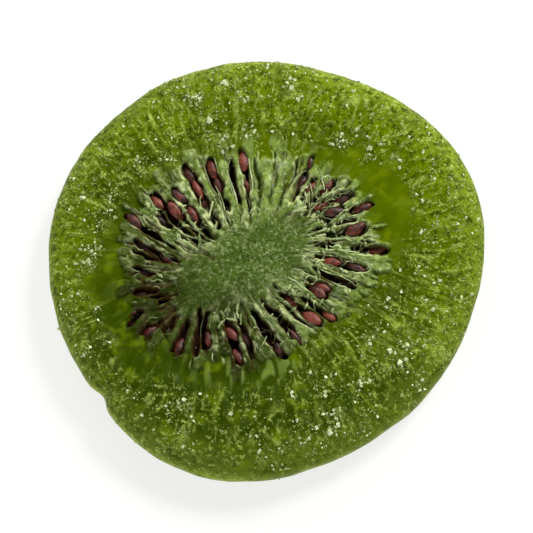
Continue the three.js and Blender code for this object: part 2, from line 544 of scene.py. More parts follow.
def lay_out(rng, leading):
    """The gaps and seeds of one cut face, round the given leading gaps."""
    gaps = []
    seeds = []
    for degrees, distances in leading.items():
        angle = math.radians(degrees)
        width = rng.uniform(0.3, 0.52) * profile(OPENNESS, angle)
        gaps.append(make_gap(rng, angle, distances[0] + rng.uniform(0.8, 1.2), width, GAP_DEPTH))
        for out in distances:
            seeds.append(make_seed(rng, angle, out, rng.uniform(0, 0.3)))
    taken = np.radians(list(leading))
    for step in range(OTHER_GAPS):
        angle = (step + rng.uniform(-0.35, 0.35)) * 2 * math.pi / OTHER_GAPS
        if np.cos(angle - taken).max() > math.cos(math.radians(KEPT_CLEAR)):
            continue
        if rng.random() < profile(MISSING_GAPS, angle):
            continue
        width = rng.uniform(0.14, 0.38) * profile(OPENNESS, angle)
        end = reach(angle) * rng.uniform(0.6, 1.0)
        gaps.append(make_gap(rng, angle, end, width, GAP_DEPTH * rng.uniform(0.7, 1)))
        if rng.random() < 0.5 * profile(OPENNESS, angle):
            seeds.append(make_seed(rng, angle, end * rng.uniform(0.45, 0.88), rng.uniform(-0.4, 0.0)))
    for step in range(SLITS):
        angle = (step + rng.uniform(-0.45, 0.45)) * 2 * math.pi / SLITS
        end = reach(angle) * rng.uniform(0.5, 1.08)
        gaps.append(make_gap(rng, angle, end, rng.uniform(0.03, 0.1), SLIT_DEPTH, earliest=-2.8))
    return gaps + [pocket(seed, rng) for seed in seeds], seeds


def furrows():
    """The shallow furrows between the broad walls on the top face."""
    grooves = []
    for degrees, share in FURROWS.items():
        angle = math.radians(degrees)
        bend = 0.35 * math.sin(degrees)  # to either side, as it comes
        end = share * reach(angle)
        grooves.append(Gap(angle, 0.3, end, FURROW_HALF_WIDTH, FURROW_DEPTH, bend, degrees, False))
    return grooves


class Spokes:
    """Points in the gaps' own coordinates: each one's angle, its distance past the core's
    edge, and the arc that a turn of one radian covers there."""

    def __init__(self, share, angle):
        step = 1e-3
        self.angle = angle
        out = np.linalg.norm(spoke_point(share, angle) - oval_point(CORE, angle), axis=-1)
        self.out = np.where(share < CORE_EDGE, -out, out)
        across = spoke_point(share, angle + step) - spoke_point(share, angle - step)
        self.arc = np.linalg.norm(across, axis=-1) / (2 * step)


def carve(spokes, gaps, ragged, bridges):
    """How far each point is from the nearest gap's edge, less than 0 inside it, and how deep
    the gaps cut it. Ragged moves the edges sideways. Bridges is 1 where flesh may cross."""
    nearest = np.full(len(spokes.angle), FAR)
    cut = np.zeros(len(spokes.angle))
    for gap in gaps:
        along = (spokes.out - gap.start) / (gap.end - gap.start)
        sideways = wrapped(spokes.angle - gap.angle) * spokes.arc - gap_line(gap, along) + ragged
        beyond = np.maximum(gap.start - spokes.out, spokes.out - gap.end)
        inside = np.abs(sideways) - gap_outline(gap, along)
        edge = np.where(beyond > 0, np.hypot(sideways, beyond), inside) + 0.5 * bridges * gap.bridged
        nearest = np.minimum(nearest, edge)
        cut = np.maximum(cut, gap.depth * (1 - smoothstep(edge, -0.26, 0.06)))
    return nearest, cut


# ---- Relief and shading values of the flesh ----


def round_spokes(spokes, form, stretch):
    """Points for noise that is drawn out along the spokes and down the rim, in millimetres
    across the spokes."""
    around = PATTERN_RADIUS * np.stack([np.cos(spokes.angle), np.sin(spokes.angle)], axis=-1)
    along = (spokes.out - form[:, 2]) / stretch
    return np.concatenate([around, along[:, None]], axis=-1)


def past_wall_tips(spokes, gaps, past, seed):
    """How far each point is past its wall's rounded tip, where a wall lies between two gaps."""
    borders = np.unique(np.round(np.mod([gap.angle for gap in gaps], 2 * math.pi), 2))
    borders = np.concatenate([borders[-1:] - 2 * math.pi, borders, borders[:1] + 2 * math.pi])
    wall = np.searchsorted(borders, spokes.angle)
    before, after = borders[wall - 1], borders[wall]
    across = (2 * spokes.angle - before - after) / (after - before)
    half_width = spokes.arc * (after - before) / 2
    longer = np.random.default_rng(seed).normal(0, 0.5, len(borders))[wall]
    return past - longer + half_width * (1 - np.sqrt(1 - np.clip(across, -1, 1) ** 2))


def streaks(angle, past):
    """How strongly the walls' pale streaks run on into the flesh past the gaps."""
    return smoothstep(past, -2.0, -0.4) * (1 - smoothstep(past, 0.6, 2.4)) * profile(STREAKED, angle)


def core_accents(angle, out):
    """The pale ragged patches at the core's edge, on two sides of it."""
    return bump(out, 0.5, 0.8) * near(angle, 117, 20) + bump(out, -0.4, 0.8) * near(angle, 293, 16)


def fold(form):
    """The thin fold across the core's left end, 1 along its middle."""
    start = np.array(FOLD_START)
    length = np.array(FOLD_END) - start
    from_start = form[:, :2] - start
    share = np.clip(from_start @ length / (length @ length), 0, 1)
    off = np.linalg.norm(from_start - share[:, None] * length, axis=1)
    return bump(off + 0.12 * noise(form, 0.9, 75), 0, 0.24) * (1 - 0.7 * smoothstep(share, 0.5, 1))


class Face:
    """The pattern of one cut face."""

    def __init__(self, spokes, form, gaps, seed):
        self.angle = spokes.angle
        self.out = spokes.out
        self.form = form
        self.seed = seed
        self.past = spokes.out - reach(spokes.angle) + 0.5 * self.noise(1.7, 10)
        self.cut_gaps(spokes, gaps)
        tips = past_wall_tips(spokes, gaps, self.past, seed) + 0.35 * self.noise(0.6, 12)
        self.felt = 1 - smoothstep(tips, -0.4, 0.08)
        self.walls = smoothstep(spokes.out + 1.6 * self.noise(2.0, 11), -3.2, 0.8) * self.felt
        self.add_details(round_spokes(spokes, form, 3.2))

    def noise(self, wavelength, number):
        return noise(self.form, wavelength, self.seed + number)

    def cut_gaps(self, spokes, gaps):
        """Cuts the gaps. The shallow furrows only dip, and are kept apart from them."""
        ragged = 0.1 * self.noise(1.1, 0) + 0.1 * self.noise(0.42, 1)
        bridges = smoothstep(self.noise(1.5, 17), 0.1, 0.45)
        shallow = [gap for gap in gaps if gap.depth == FURROW_DEPTH]
        deep = [gap for gap in gaps if gap.depth != FURROW_DEPTH]
        self.nearest, self.cut = carve(spokes, deep, ragged, bridges)
        self.dip = carve(spokes, shallow, ragged, bridges)[1]

    def add_details(self, drawn_out):
        self.strands = 0.13 * noise(drawn_out, 0.45, self.seed + 5) + 0.14 * self.noise(0.9, 6)
        self.strands += 0.08 * self.noise(0.45, 15)
        self.grit = 0.08 * self.noise(0.3, 16)
        winding = noise(wander(drawn_out, 0.3, 0.7, self.seed + 20), 0.45, self.seed + 8)
        self.streak = streaks(self.angle, self.past) * smoothstep(winding, 0.0, 0.35)
        self.accents = core_accents(self.angle, self.out)
        self.accents *= smoothstep(self.noise(0.8, 13), -0.1, 0.4)
        self.folded = fold(self.form)
        self.patchy = smoothstep(noise(drawn_out, 0.7, self.seed + 7), -0.4, 0.4)
        self.patchy *= smoothstep(self.noise(0.5, 18), -0.25, 0.25)

    def relief(self):
        """How far each point stands out from the bare form."""
        crest = WALL_CREST * (1 - np.exp(-np.maximum(self.nearest, 0) / 0.35)) * self.walls
        tufts = 0.16 * ridges(self.form, 1.6, self.seed + 3) + 0.06 * self.noise(0.42, 4)
        grain = (lerp(tufts, self.strands, self.walls) + self.grit) * self.felt
        cut = self.cut * (1 + 0.25 * self.noise(0.8, 2))
        details = 0.3 * self.accents - 0.35 * self.folded - self.dip
        return crest + grain + 0.12 * self.streak - cut + details

    def pale_edges(self):
        """The walls' pale edges along the gaps, the pale knobs on the walls and the accents; the
        edges and knobs are dimmed by painted shade at the lower left.
        """
        light = profile(EDGE_LIGHT, self.angle)
        along_gaps = bump(self.nearest, 0.11, 0.13) * (1 - smoothstep(self.past, -1.2, 0.2))
        along_gaps *= smoothstep(self.out, -1.5, 0.5) * self.patchy
        knobs = 0.7 * self.walls * smoothstep(self.strands + 1.5 * self.grit, 0.03, 0.28)
        return np.minimum(np.maximum.reduce([along_gaps * light, knobs * light, self.accents]), 1)

    def shaded_creases(self):
        """Painted shade, brownish, at the walls' feet in the gaps and along the fold."""
        width = 0.14 + 0.1 * profile(MATTED, self.angle)
        feet = self.walls * (1 - smoothstep(self.nearest, -0.04, width))
        return np.maximum(profile(CREASE_SHADE, self.angle) * feet, self.folded)

    def frost(self):
        """The frosted flesh past the clear band."""
        past = self.past + 1.2 * self.noise(2.4, 9) + 0.8 * self.noise(0.9, 14)
        clear = profile(CLEAR_WIDTH, self.angle)
        return smoothstep(past, clear - 1, clear + 2) * profile(FROSTED, self.angle)

    def values(self):
        """How much each point belongs to each part of the pattern, from 0 to 1."""
        return {
            "felt": self.felt * (1 - 0.85 * self.dip / FURROW_DEPTH),
            # painted shade: how far down the gaps are painted near black
            "gap": smoothstep(self.cut, 0.3, 1.0),
            "edge": self.pale_edges(),
            "streak": self.streak,
            # painted shade at the walls' feet and along the fold
            "crease": self.shaded_creases(),
            "frost": self.frost(),
        }


def flesh_wrinkles(grid, spokes, curled, frost):
    """The wrinkles and slow swells of the flesh past the gaps, and the nick in the rim."""
    wrinkles = (0.02 + 0.3 * frost) * (ridges(curled, 0.9, 35) - 0.5)
    pits = (0.02 + 0.16 * frost) * noise(grid.form, 0.8, 36)
    slow = 0.08 * noise(grid.form, 2.2, 37) + 0.12 * noise(grid.form, 6.0, 38)
    flesh = smoothstep(spokes.out - reach(spokes.angle), -0.5, 2.5)
    smooth_rim = 1 - 0.9 * smoothstep(grid.share, 0.88, 0.97)
    nick = profile(NICK, spokes.angle) * smoothstep(grid.share, 0.88, 1)
    return flesh * (smooth_rim * (wrinkles + pits) + slow) + nick


def sunniness(grid):
    """The flesh's painted light and shade: above 0 painted lighter, on the side the key light comes
    from, and below 0 in painted shade, with a little random unevenness.
    """
    x, y, _ = grid.form.T
    sunny = wave_round(np.arctan2(y, x), 1, SUN_AT)
    sunny *= np.minimum(1.1 * np.hypot(x, y) / MEAN_RADIUS, 0.88)
    sunny -= profile(SHADY_RIM, grid.angle) * smoothstep(grid.share, 0.72, 0.86)
    sunny += profile(LIT_FLESH, grid.angle) * smoothstep(grid.share, 0.45, 0.6)
    sunny += profile(LIT_WALLS, grid.angle) * (1 - smoothstep(grid.share, 0.5, 0.7))
    return sunny + 0.3 * noise(grid.form, 7.0, 41)


def shade_values(grid, spokes):
    """Values that the flesh's material reads on the whole slice. The zone is 0 at the core's
    middle, 1 at its edge, 2 where the gaps end and 3 at the rim."""
    past = (grid.share - SEED_EDGE) / (1 - SEED_EDGE)
    along_gaps = spokes.out / np.maximum(reach(grid.angle), 1)
    outside = 1 + np.minimum(along_gaps, 1 + np.maximum(past, 0))
    flesh = smoothstep(past, 0.02, 0.2) * (1 - smoothstep(past, 0.65, 0.95))
    darkening = np.minimum(profile(WALL_DARKENING, grid.angle), 1)
    only_on_faces = ("felt", "gap", "edge", "streak", "crease")
    return {name: np.zeros(len(past)) for name in only_on_faces} | {
        "zone": np.where(grid.share < CORE_EDGE, grid.share / CORE_EDGE, outside),
        "side": 1 - np.abs(grid.up),
        # painted light and painted shade, which the materials read
        "sunny": sunniness(grid),
        # walls darkened, partly painted shade and partly their darker dried mass
        "matted_and_shade": smoothstep(spokes.out, -5.0, 0.5) * darkening,
        "frost": profile(FROSTED, grid.angle),
        "combed": profile(COMBED, grid.angle) * flesh,
    }


# ---- Mesh helpers ----


def make_object(name, points, faces, smooth):
    """A mesh object from points in metres and faces of vertex numbers."""
    mesh = bpy.data.meshes.new(name)
    mesh.from_pydata(np.asarray(points).tolist(), [], np.asarray(faces).tolist())
    mesh.polygons.foreach_set("use_smooth", [smooth] * len(mesh.polygons))
    mesh.update()
    piece = bpy.data.objects.new(name, mesh)
    bpy.context.scene.collection.objects.link(piece)
    return piece


def add_attribute(piece, name, values):
    """Gives each vertex a number or a vector that the materials can read."""
    kind, field = ("FLOAT", "value") if values.ndim == 1 else ("FLOAT_VECTOR", "vector")
    attribute = piece.data.attributes.new(name, kind, "POINT")
    attribute.data.foreach_set(field, values.astype(np.float32).ravel())


def facings(points, triangles):
    """A vector along each triangle's normal, twice as long as its area."""
    first, second, third = points[triangles].swapaxes(0, 1)
    return np.cross(second - first, third - first)


def normals_of(points, triangles):
    """The smooth normal at each vertex of a mesh."""
    facing = facings(points, triangles)
    normals = np.zeros_like(points)
    for corner in range(3):
        np.add.at(normals, triangles[:, corner], facing)
    return unit(normals)


def shell(rings, tip, tail):
    """The triangles of a closed shell from its tip over its rings to its tail, all given as
    vertex numbers."""
    triangles = []
    for here, there in zip(rings.T, np.roll(rings, -1, axis=1).T):
        triangles.append((tip, there[0], here[0]))
        for a, b, c, d in zip(here, there, there[1:], here[1:]):
            triangles += [(a, b, c), (a, c, d)]
        triangles.append((tail, here[-1], there[-1]))
    return np.array(triangles)


class Heap:
    """Many small shells, each with its own tone, that become one object."""

    def __init__(self):
        self.points = []
        self.triangles = []
        self.tones = []
        self.count = 0

    def add(self, points, triangles, tone):
        self.points.append(points)
        self.triangles.append(triangles + self.count)
        self.tones.append(np.full(len(points), tone))
        self.count += len(points)

    def join(self, name, fit):
        """The object, kept above the table, and its points in millimetres."""
        points = np.concatenate(self.points)
        points[:, 2] = np.maximum(points[:, 2], 0)
        piece = make_object(name, fit(points), np.concatenate(self.triangles), smooth=True)
        add_attribute(piece, "tone", np.concatenate(self.tones))
        return piece, points


# ---- Flesh ----

# The flesh's mesh in millimetres, and what its material reads at each vertex
Surface = namedtuple("Surface", "points triangles values")


def add_bake_map(flesh, grid):
    """A texture map of two discs, one for each half of the slice, the top one larger."""
    length = grid.travel[-1]
    vertices = grid.triangles.ravel()
    on_top = np.repeat(grid.up[grid.triangles].mean(axis=1) > 0, 3)
    travel = grid.travel[vertices]
    inwards = np.where(on_top, length - travel, travel) / (length / 2)
    radius = inwards * np.where(on_top, TOP_DISC.radius, UNDER_DISC.radius)
    middle = np.where(on_top, TOP_DISC.middle, UNDER_DISC.middle)
    u = middle + radius * np.cos(grid.angle[vertices])
    v = middle + radius * np.sin(grid.angle[vertices])
    layer = flesh.data.uv_layers.new(name="OFBake")
    layer.data.foreach_set("uv", np.stack([u, v], axis=-1).astype(np.float32).ravel())


def build_flesh(fit, faces):
    """The flesh and its surface. Faces maps an up value to the gaps of that cut face."""
    grid = Grid()
    spokes = Spokes(grid.share, grid.angle)
    relief = np.zeros(len(grid.share))
    values = shade_values(grid, spokes)
    values["drawn_out"] = round_spokes(spokes, grid.form, 2.1)
    values["curled"] = wander(round_spokes(spokes, grid.form, 3.0), 0.7, 1.5, 30)
    for up, gaps in faces.items():
        here = grid.up == up
        there = Spokes(grid.share[here], grid.angle[here])
        face = Face(there, grid.form[here], gaps, FACE_NOISE + up)
        relief[here] = face.relief()
        for name, numbers in face.values().items():
            values[name][here] = numbers
    relief += flesh_wrinkles(grid, spokes, values["curled"], values["frost"])
    points = grid.form + normals_of(grid.form, grid.triangles) * relief[:, None]
    points[:, 2] = np.maximum(points[:, 2], 0)
    flesh = make_object("kiwi_flesh", fit(points), grid.triangles, smooth=True)
    for name, numbers in values.items():
        add_attribute(flesh, name, numbers)
    add_bake_map(flesh, grid)
    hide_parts("kiwi_slice")
    return flesh, Surface(points, grid.triangles, values)


class Ground:
    """Finds places on the flesh, in millimetres."""

    def __init__(self, surface):
        self.tree = BVHTree.FromPolygons(surface.points.tolist(), surface.triangles.tolist())

    def height(self, x, y, up):
        """The height of the top or the underside at a point of the plan."""
        hit = self.tree.ray_cast(Vector((x, y, 20 * up)), Vector((0, 0, -up)))[0]
        return hit.z if hit else RIM_LEVEL

    def nearest(self, point):
        """The surface's nearest point and the normal there."""
        place, normal, _, _ = self.tree.find_nearest(Vector(point))
        return np.array(place), np.array(normal)


def spoke_vector(angle):
    """The flat unit vector along a spoke, from the core's edge to the seed ring's."""
    along = oval_point(SEED_RING, angle) - oval_point(CORE, angle)
    return along / np.linalg.norm(along)


def plan_point(angle, out):
    """A point at a distance past the core's edge along a spoke."""
    return oval_point(CORE, angle) + spoke_vector(angle) * out


# ---- Seeds ----


def seed_form():
    """A seed of unit size with its point towards -X: its vertices and triangles."""
    along = np.repeat(np.arange(1, SEED_RINGS + 1) / (SEED_RINGS + 1), SEED_SIDES)
    turn = np.tile(np.arange(SEED_SIDES) * 2 * math.pi / SEED_SIDES, SEED_RINGS)
    radius = 0.56 * np.sin(math.pi * along**0.85) ** 0.72 * (0.62 + 0.38 * along)
    rings = np.stack([along - 0.5, radius * np.cos(turn), radius * np.sin(turn)], axis=1)
    points = np.concatenate([[(-0.5, 0, 0)], rings, [(0.5, 0, 0)]])
    numbers = np.arange(len(rings)).reshape(SEED_RINGS, SEED_SIDES) + 1
    return points, shell(numbers, 0, len(points) - 1)


def build_seeds(fit, ground, faces):
    """All seeds of both cut faces as one mesh."""
    form, triangles = seed_form()
    heap = Heap()
    for up, seeds in faces.items():
        for seed in seeds:
            x, y = plan_point(seed.angle, seed.out)
            z = ground.height(x, y, up) + up * (0.42 * seed.size[2] + seed.lift)
            along_x, along_y = spoke_vector(seed.angle)
            heading = math.atan2(along_y, along_x) + seed.turn
            turn = np.array(Euler((0, -seed.tilt * up, heading)).to_matrix())
            uneven = 1 + 0.08 * noise(form * 6 + seed.out * 9, 1.3, 71)
            points = (form * seed.size * uneven[:, None]) @ turn.T + (x, y, z)
            points[:, 2] += max(0, -points[:, 2].min())
            heap.add(points, triangles, seed.tone)
    piece, _ = heap.join("kiwi_seeds", fit)
    return piece


# ---- Fibres ----

ALONG_FIBRE = np.linspace(0, 1, FIBRE_STEPS)  # the share of its length at each step


def tube(path, radius, normals=(0, 0, 1.0), flatness=1.0):
    """A tapered tube along a path that lies on a surface: its points and triangles."""
    forward = unit(np.gradient(path, axis=0))
    side = np.cross(forward, normals)
    side /= np.linalg.norm(side, axis=1, keepdims=True) + 1e-9  # 0 where the path is upright
    over = np.cross(side, forward) * flatness
    thickness = radius * np.sin(math.pi * np.linspace(0.12, 0.88, len(path))) ** 0.5
    thickness *= 1 + 0.45 * noise(path, 0.35, 81)
    turn = np.arange(FIBRE_SIDES)[:, None] * 2 * math.pi / FIBRE_SIDES
    ring = side[:, None] * np.cos(turn) + over[:, None] * np.sin(turn)
    points = (path[:, None] + ring * thickness[:, None, None]).reshape(-1, 3)
    numbers = np.arange(len(points)).reshape(-1, FIBRE_SIDES)
    triangles = shell(numbers, len(points), len(points) + 1)[:, [0, 2, 1]]
    return np.concatenate([points, path[:1], path[-1:]]), triangles


class FibrePaths:
    """Random paths of fibres on one cut face."""

    def __init__(self, rng, ground, up):
        self.rng = rng
        self.ground = ground
        self.up = up

    def heights(self, x, y, sag):
        """The flesh's heights along a path that spans the gaps and sags a little into them."""
        heights = self.up * np.array([self.ground.height(*flat, self.up) for flat in zip(x, y)])
        return np.maximum(heights, np.quantile(heights, 0.6) - sag)

    def along_spoke(self, angle, start, end, sideways, lift=0.0):
        """A path along a spoke, wavy and with lifted ends."""
        rng = self.rng
        forward_x, forward_y = spoke_vector(angle)
        wave = rng.uniform(0.02, 0.07) * np.sin(ALONG_FIBRE * rng.uniform(4, 11) + rng.uniform(0, 6))
        off = sideways + wave
        middle_x, middle_y = plan_point(angle, lerp(start, end, ALONG_FIBRE)[:, None]).T
        x = middle_x - forward_y * off
        y = middle_y + forward_x * off
        heights = np.pad(self.heights(x, y, 0.15), 1, "edge")
        heights = np.convolve(heights, (0.25, 0.5, 0.25), "valid") + lift
        heights += rng.uniform(-0.08, 0.1) * (2 * ALONG_FIBRE - 1) ** 4
        return np.stack([x, y, self.up * heights], axis=1)

    def slanting(self, angle, start, end, spread, highest=0.0):
        """A path that slants off its spoke, and lies up to the highest lift over the flesh."""
        slant = self.rng.normal(0, spread)
        lift = self.rng.uniform(0.0, highest) if highest else 0.0
        return self.along_spoke(angle, start, end, slant * ALONG_FIBRE, lift)

    def bent(self, place, length, bend, sunk):
        """A short bent path that lies every way on the flesh and reaches over the gaps."""
        along = ALONG_FIBRE - 0.5
        heading = self.rng.uniform(0, 2 * math.pi)
        off_x, off_y = turned(along, bend * along**2, heading)
        x = place[0] + length * off_x
        y = place[1] + length * off_y
        heights = self.heights(x, y, 0.2) - sunk * (1 + 6 * along**2)
        return np.stack([x, y, self.up * heights], axis=1)

    def beside_gaps(self, gaps):
        """Paths along the edges of the gaps. Some run right round a gap's outer end."""
        rng = self.rng
        for gap in gaps:
            round_end = gap.half_width > 0.11 and rng.random() < 0.5
            for side in (-1, 1):
                if rng.random() < 0.8:
                    continue
                low = rng.uniform(0.02, 0.5)
                high = 1.0 if round_end else rng.uniform(low + 0.25, 1.05)
                high = min(high, (reach(gap.angle) - 0.6 - gap.start) / (gap.end - gap.start))
                along = lerp(low, high, ALONG_FIBRE)
                sideways = gap_line(gap, along) + side * (gap_outline(gap, along) + 0.05)
                start = lerp(gap.start, gap.end, low)
                end = lerp(gap.start, gap.end, high)
                yield self.along_spoke(gap.angle, start, end, sideways)

    def loose(self):
        """Short paths strewn over the walls and the core's edge."""
        rng = self.rng
        for _ in range(LOOSE_FIBRES):
            angle = rng.uniform(0, 2 * math.pi)
            start = rng.uniform(-1.0, 0.8 * reach(angle))
            end = min(start + rng.uniform(0.6, 1.8), reach(angle) - 0.6)
            yield self.slanting(angle, start, end, 0.4)

    def tangle(self):
        """Paths that lie every way over the seeds in one part of the seed ring."""
        rng = self.rng
        for _ in range(TANGLE_FIBRES):
            angle = math.radians(rng.normal(44, 8))
            start = rng.uniform(1.0, 4.6)
            yield self.slanting(angle, start, start + rng.uniform(0.7, 1.6), 0.7, 0.35)

    def fingers(self):
        """Short paths that reach from the core's edge over the gaps."""
        rng = self.rng
        for _ in range(FINGERS):
            angle = math.radians(rng.choice(FINGER_PLACES) + rng.normal(0, 16))
            start = rng.uniform(-0.8, 1.6)
            yield self.slanting(angle, start, start + rng.uniform(0.5, 1.4), 0.6)

    def frills(self):
        """Curls of torn felt on the walls' edges and over the gaps."""
        rng = self.rng
        for _ in range(FRILLS):
            angle = math.radians(rng.choice(FRILL_PLACES) + rng.normal(0, 13))
            place = plan_point(angle, rng.uniform(0.6, reach(angle) - 1.0))
            bend = rng.choice((-1, 1)) * rng.uniform(0.4, 1.4)
            yield self.bent(place, rng.uniform(0.4, 1.1), bend, 0.02)

    def on_core(self):
        """Short paths on the core."""
        rng = self.rng
        for _ in range(CORE_FIBRES):
            edge = oval_point(CORE, rng.uniform(0, 2 * math.pi))
            place = lerp(np.array([CORE.x, CORE.y]), edge, rng.uniform(0, 1.15) ** 0.5)
            yield self.bent(place, rng.uniform(0.3, 0.7), rng.normal(0, 0.2), 0.03)


def build_fibres(fit, ground, faces):
    """All loose fibres of both cut faces as one mesh. Fewer lie at the lower left, and those
    there are painted darker, as painted shade away from the key light.
    """
    rng = np.random.default_rng(5)
    heap = Heap()
    for up, gaps in faces.items():
        paths = FibrePaths(rng, ground, up)
        thin = [*paths.beside_gaps(gaps), *paths.loose(), *paths.tangle()]
        tubes = [tube(path, rng.uniform(0.05, 0.09)) for path in thin]
        tubes += [tube(path, rng.uniform(0.1, 0.2)) for path in paths.fingers()]
        tubes += [tube(path, rng.uniform(0.05, 0.12)) for path in paths.frills()]
        felted = [tube(path, rng.uniform(0.04, 0.07)) for path in paths.on_core()]
        for palest, some in ((1.0, tubes), (0.35, felted)):
            for points, triangles in some:
                x, y, _ = points[0]
                light = profile(FIBRE_LIGHT, math.atan2(y - CORE.y, x - CORE.x))
                if rng.random() > light + 0.1:
                    continue
                tone = palest * rng.uniform(0.1, 1) * light
                heap.add(wander(points, 0.07, 0.4, 83), triangles, tone)
    piece, _ = heap.join("kiwi_fibres", fit)
    return piece


# ---- Wisps ----


def scatter(rng, surface, weights, level, counts):
    """Random places on a surface, each with the triangle's normal. More lie where the weights
    are high. Counts says how many lie above a level and how many below it."""
    facing = facings(surface.points, surface.triangles)
    area = np.linalg.norm(facing, axis=1)
    above = surface.points[:, 2] > level
    places = []
    normals = []
    for here, count in zip((above, ~above), counts):
        chance = area * (weights * here)[surface.triangles].mean(axis=1)
        chosen = rng.choice(len(area), count, p=chance / chance.sum())
        mix = rng.dirichlet((1, 1, 1), count)
        corners = surface.points[surface.triangles[chosen]]
        places.append((corners * mix[:, :, None]).sum(axis=1))
        normals.append(facing[chosen] / area[chosen, None])
    return np.concatenate(places), np.concatenate(normals)


def wisp_path(rng, ground, place, normal):
    """A short curling path on the flesh that mostly runs outwards, and the normals along it."""
    outwards = place * (1, 1, 0) - (CORE.x, CORE.y, 0)
    forward = outwards / np.linalg.norm(outwards) + rng.normal(0, 0.5, 3)
    step = rng.uniform(0.5, 1.7) / (WISP_STEPS - 1)
    curving = rng.normal(0, 0.28)
    path = []
    normals = []
    for _ in range(WISP_STEPS):
        path.append(place)
        normals.append(normal)
        forward = forward + curving * np.cross(normal, forward) + rng.normal(0, 0.12, 3)
        forward = forward - normal * (forward @ normal)
        forward /= np.linalg.norm(forward)
        place, normal = ground.nearest(place + step * forward)
    return np.array(path), np.array(normals)


def streak_starts(rng, ground):
    """Where the pale streaks start that run on from the walls on the top face."""
    for _ in range(STREAKS):
        angle = math.radians(rng.choice(STREAK_PLACES) + rng.normal(0, 15))
        x, y = plan_point(angle, reach(angle) + rng.uniform(-0.4, 0.8))
        yield ground.nearest((x, y, ground.height(x, y, 1)))


def nearest_vertices(points, places):
    """The number of the point that is nearest to each place."""
    tree = KDTree(len(points))
    for number, point in enumerate(points):
        tree.insert(point, number)
    tree.balance()
    return [tree.find(place)[1] for place in places]


def build_wisps(fit, ground, surface):
    """The low curling wisps of dried fibre on the frosted flesh as one mesh."""
    rng = np.random.default_rng(21)
    points, _, values = surface
    patches = 0.2 + smoothstep(noise(points, 2.2, 91), -0.4, 0.6)
    wispy = profile(WISPY, np.arctan2(points[:, 1], points[:, 0]))
    weights = values["frost"] ** 2 * patches * wispy * (1 - values["side"]) ** 3
    starts = scatter(rng, surface, weights, RIM_LEVEL + 1, (TOP_WISPS, OTHER_WISPS))
    sunk = WISP_FLATNESS * (0.6 + 0.6 * np.linspace(-1, 1, WISP_STEPS)[:, None] ** 2)
    heap = Heap()
    for place, normal in [*zip(*starts), *streak_starts(rng, ground)]:
        path, normals = wisp_path(rng, ground, place, normal)
        radius = rng.uniform(0.07, 0.16)
        shape = tube(path - normals * (radius * sunk), radius, normals, WISP_FLATNESS)
        heap.add(*shape, rng.uniform(0, 1))
    piece, wisp_points = heap.join("frosted_wisps", fit)
    nearest = nearest_vertices(points, wisp_points)
    for name in ("zone", "side", "sunny", "streak", "combed", "curled"):
        add_attribute(piece, name, values[name][nearest])
    return piece


# ---- Sugar ----

CUBE = np.array(list(itertools.product((-0.5, 0.5), repeat=3)))
CUBE_FACES = np.array(
    [
        (0, 1, 3), (0, 3, 2), (4, 7, 5), (4, 6, 7), (0, 5, 1), (0, 4, 5),
        (2, 3, 7), (2, 7, 6), (0, 2, 6), (0, 6, 4), (1, 5, 7), (1, 7, 3),
    ]
)


def sugar_weights(surface):
    """How thick the sugar lies: in clumps on the frosted flesh, and thinner on steep flesh."""
    points = surface.points
    clumps = 0.15 + smoothstep(noise(points, 2.6, 61) + 0.5 * noise(points, 0.8, 62), -0.2, 0.8)
    clusters = 0.25 + 2 * smoothstep(noise(points, 0.8, 63), 0.15, 0.6)
    upright = normals_of(points, surface.triangles)[:, 2] ** 2
    return smoothstep(surface.values["frost"], 0.1, 0.5) * clumps * clusters * upright


def build_sugar(fit, surface):
    """Sugar crystals on the frosted flesh as one mesh. Each is an uneven cube."""
    rng = np.random.default_rng(11)
    counts = (TOP_CRYSTALS, OTHER_CRYSTALS)
    places, facing = scatter(rng, surface, sugar_weights(surface), RIM_LEVEL, counts)
    count = sum(counts)
    tones = rng.uniform(0, 1, count) ** 2
    sizes = np.clip(rng.lognormal(-2.5, 0.3, count), SMALLEST_CRYSTAL, LARGEST_CRYSTAL)
    # the palest crystals, partly painted glints, are also the largest
    sizes *= 0.9 + 2.0 * tones**8
    corners = CUBE * rng.uniform(0.5, 1.4, (count, 1, 3)) + rng.normal(0, 0.13, (count, 8, 3))
    turns = np.linalg.qr(rng.normal(size=(count, 3, 3)))[0]
    turns *= np.linalg.det(turns)[:, None, None]
    corners = np.einsum("nij,nkj->nki", turns, corners) * sizes[:, None, None]
    corners += (places + facing * sizes[:, None] * 0.05)[:, None]
    corners[..., 2] = np.maximum(corners[..., 2], 0)
    faces = CUBE_FACES + 8 * np.arange(count)[:, None, None]
    piece = make_object("sugar_crystals", fit(corners.reshape(-1, 3)), faces.reshape(-1, 3), False)
    add_attribute(piece, "tone", np.repeat(tones, 8))
    return piece


# ---- Materials ----


